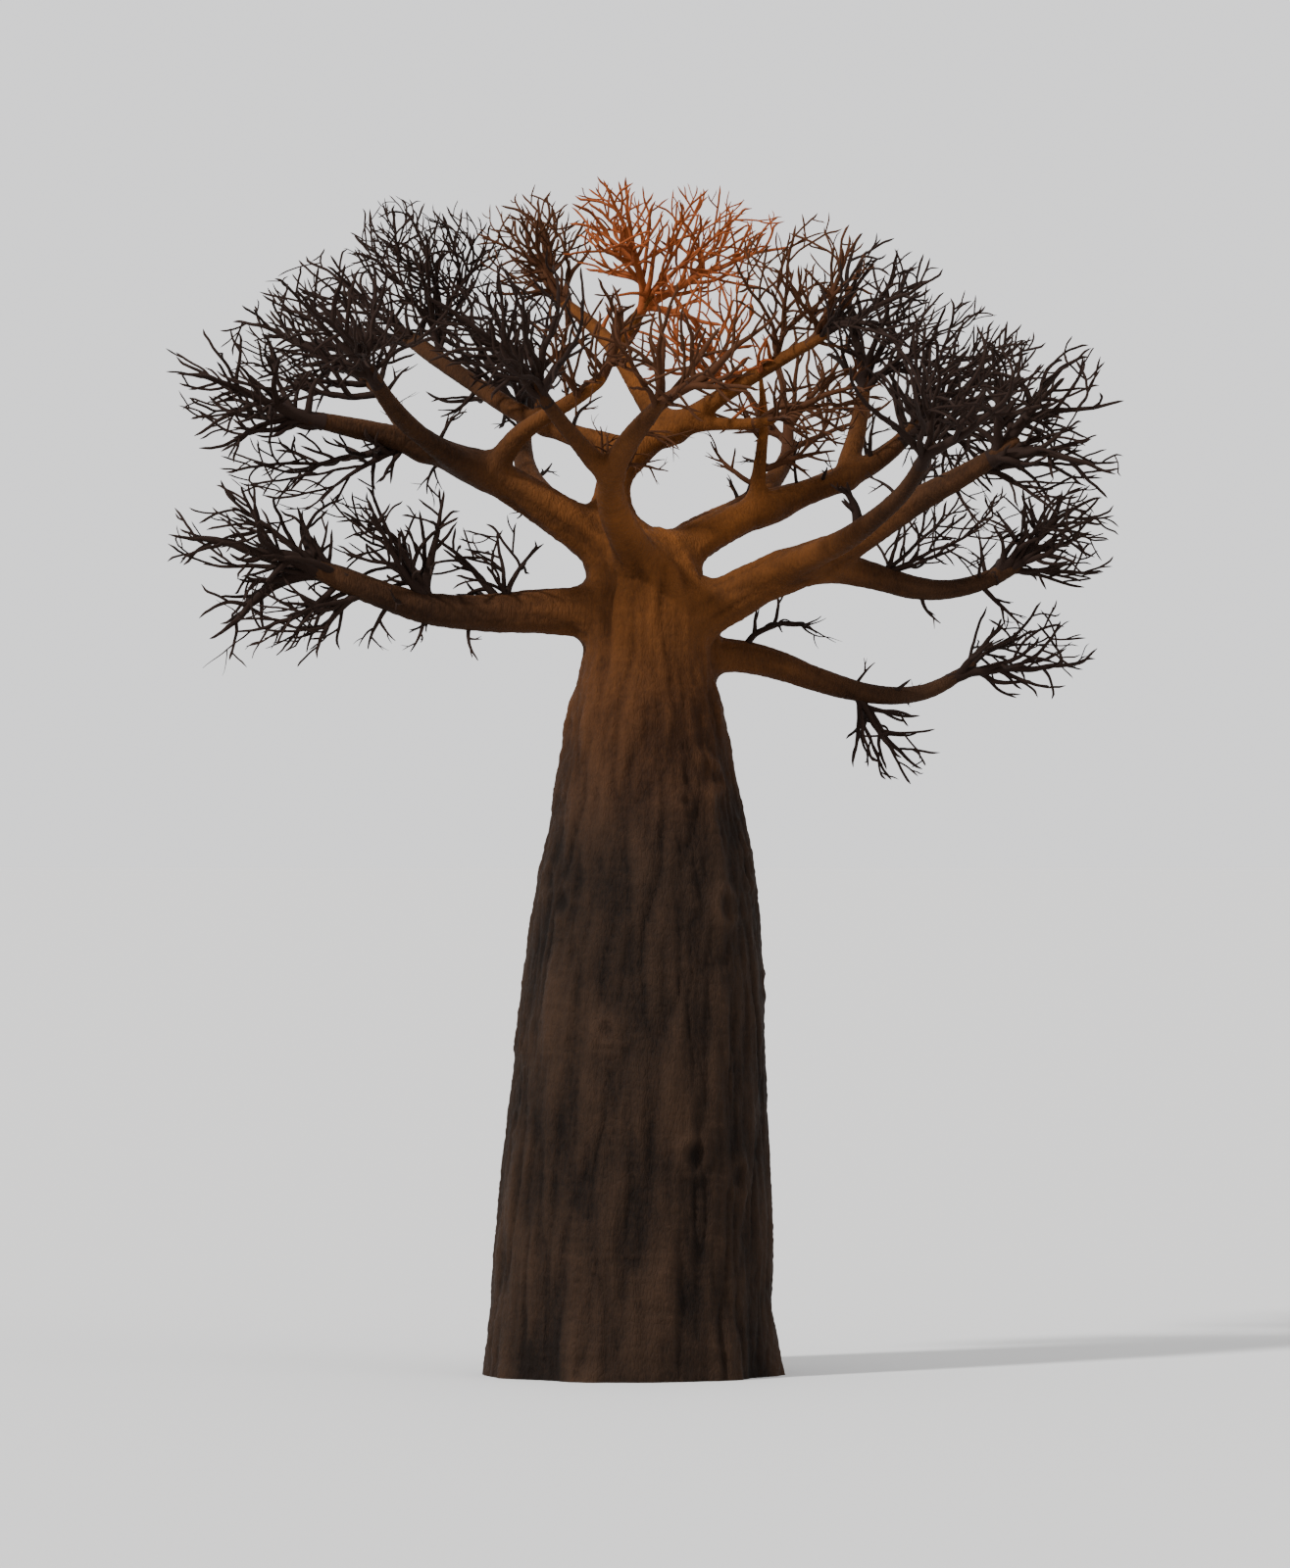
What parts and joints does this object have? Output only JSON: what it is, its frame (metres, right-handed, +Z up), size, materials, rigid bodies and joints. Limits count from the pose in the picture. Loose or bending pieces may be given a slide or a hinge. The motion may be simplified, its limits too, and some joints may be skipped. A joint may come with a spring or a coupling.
{
  "type": "baobab tree",
  "caption": "Bare baobab tree: bottle-shaped trunk on a flat cut at the ground, boughs spreading all round from its top, each ending in masses of twigs.",
  "frame": {"origin": "the middle of the flat cut under the trunk, at ground level, which is the mount named ground", "axes": "+Z up along the trunk, +X to the side where the long low bough dips and rises again, -Y to the front; the mount named ground faces -Z"},
  "size_m": [14.2853, 12.4413, 18.3313],
  "materials": {
    "bark": "dark grey-brown bark in long upright folds with fine wrinkles round the limbs, matt",
    "twigs": "dark brown twigs, matt, with a rust-brown tint in the middle of the crown"
  },
  "bodies": {
    "root": {"back_bough": "bark", "back_left_bough": "bark", "back_left_twigs": "twigs", "back_twigs": "twigs", "centre_bough": "bark", "centre_crest_bough": "bark", "centre_crest_left_twigs": "twigs", "centre_crest_right_twigs": "twigs", "centre_left_high_twigs": "twigs", "centre_left_rise": "bark", "centre_left_twigs": "twigs", "centre_level_bough": "bark", "centre_middle_twigs": "twigs", "centre_right_high_twigs": "twigs", "centre_right_rise": "bark", "centre_right_tip_twigs": "twigs", "centre_right_twigs": "twigs", "front_bough": "bark", "front_left_bough": "bark", "front_left_twigs": "twigs", "front_twigs": "twigs", "left_arch_bough": "bark", "left_arch_twigs": "twigs", "left_crest_bough": "bark", "left_crest_low_twigs": "twigs", "left_crest_top_twigs": "twigs", "left_far_twigs": "twigs", "left_front_bough": "bark", "left_front_twigs": "twigs", "left_high_bough": "bark", "left_inner_bough": "bark", "left_inner_twigs": "twigs", "left_inner_upright": "bark", "left_low_bough": "bark", "left_low_inner_twigs": "twigs", "left_low_tip_twigs": "twigs", "left_low_under_twigs": "twigs", "left_low_upright_twigs": "twigs", "left_under_twigs": "twigs", "right_back_bough": "bark", "right_back_twigs": "twigs", "right_crest_twigs": "twigs", "right_far_high_twigs": "twigs", "right_far_twigs": "twigs", "right_front_bough": "bark", "right_front_twigs": "twigs", "right_high_bough": "bark", "right_inner_twigs": "twigs", "right_low_bough": "bark", "right_low_drop_twigs": "twigs", "right_low_tip_twigs": "twigs", "right_middle_bough": "bark", "right_sag_bough": "bark", "right_sag_tip_twigs": "twigs", "right_sag_top_twigs": "twigs", "right_snag": "bark", "right_upright_bough": "bark", "right_upright_twigs": "twigs", "trunk": "bark"}
  },
  "joints": []
}
